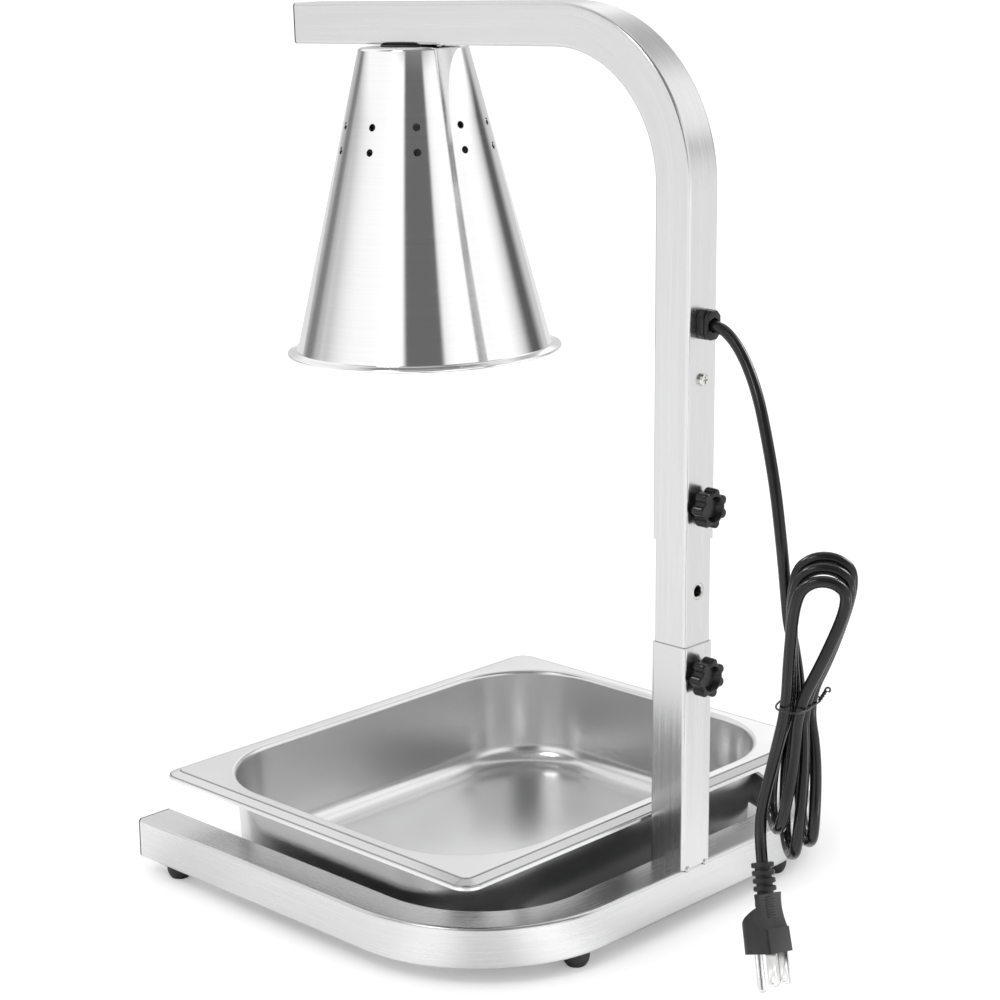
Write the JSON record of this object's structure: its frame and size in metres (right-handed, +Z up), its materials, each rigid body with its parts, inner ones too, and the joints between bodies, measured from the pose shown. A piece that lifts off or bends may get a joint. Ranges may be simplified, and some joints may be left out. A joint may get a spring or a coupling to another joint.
{
  "type": "food heat lamp",
  "caption": "Free-standing food heat lamp: a bent square-tube stand with a sliding column and arm holds a polished cone shade over a lift-out pan, with its cord tied in a hank.",
  "frame": {"origin": "on the table, under the middle of the lamp's own box, which is measured without the cord and its plug", "axes": "+Z up; -Y towards the open front of the U stand and the free end of the arm; +X to the right seen from that front"},
  "size_m": [0.353, 0.4492, 0.5291],
  "materials": {
    "tube_steel": "satin stainless steel, brushed lengthwise",
    "weld_steel": "ground tack weld",
    "shade_steel": "polished stainless steel, finely turned",
    "pan_steel": "satin pressed stainless steel",
    "zinc_steel": "bright zinc plated steel",
    "nickel_plate": "bright nickel plate",
    "contact_brass": "plain brass",
    "black_plastic": "black moulded plastic",
    "tie_plastic": "black plastic over wire",
    "cord_pvc": "black PVC",
    "supply_sleeve": "heat resistant sleeve",
    "black_rubber": "black rubber",
    "ceramic": "opaque glazed ceramic",
    "bulb_glass": "frosted glass"
  },
  "bodies": {
    "stand": {"base_frame": "tube_steel", "base_end_plugs": "black_plastic", "rubber_feet": "black_rubber", "foot_screws": "zinc_steel", "lower_post": "tube_steel", "weld_tacks": "weld_steel"},
    "slider": {"inner_post": "tube_steel", "threaded_inserts": "zinc_steel", "cord_hank": "cord_pvc", "twist_tie": "tie_plastic", "plug_body": "cord_pvc", "plug_blades": "nickel_plate", "plug_ground_pin": "nickel_plate"},
    "lamp_head": {"lamp_arm": "tube_steel", "arm_end_plug": "black_plastic", "cord_gland": "black_plastic", "earth_screw": "zinc_steel", "earth_nut": "zinc_steel", "supply_cable": "supply_sleeve", "shade_gasket": "black_rubber", "lamp_nipple": "zinc_steel", "nipple_nuts": "zinc_steel", "locating_screw": "zinc_steel", "lamp_shade": "shade_steel", "lampholder": "ceramic", "screw_shell": "contact_brass", "centre_contact": "contact_brass", "cord_lead": "cord_pvc"},
    "knob_low": {"lower_knob": "black_plastic", "lower_knob_stud": "zinc_steel"},
    "knob_high": {"upper_knob": "black_plastic", "upper_knob_stud": "zinc_steel"},
    "bulb": {"bulb_glass": "bulb_glass", "bulb_cap": "nickel_plate"},
    "pan": {"food_pan": "pan_steel"}
  },
  "joints": [
    {"name": "lower_slide", "type": "slide", "parent": "stand", "child": "slider", "axis": [0, 0, 1], "range_m": [0, 0.05]},
    {"name": "upper_slide", "type": "slide", "parent": "slider", "child": "lamp_head", "axis": [0, 0, 1], "range_m": [-0.05, 0], "deforming": ["cord_lead"]},
    {"name": "lower_knob_turn", "type": "hinge", "parent": "stand", "child": "knob_low", "pos_m": [0, 0.16257, 0.1522], "axis": [0, 1, 0], "continuous": true},
    {"name": "upper_knob_turn", "type": "hinge", "parent": "lamp_head", "child": "knob_high", "pos_m": [0, 0.16257, 0.2522], "axis": [0, 1, 0], "continuous": true},
    {"name": "bulb_turn", "type": "hinge", "parent": "lamp_head", "child": "bulb", "pos_m": [0, -0.07105, 0.50027], "axis": [0, -0.0305, 0.9995], "continuous": true},
    {"name": "pan_lift", "type": "slide", "parent": "stand", "child": "pan", "axis": [0, 0, 1], "range_m": [0, 0.12]}
  ]
}
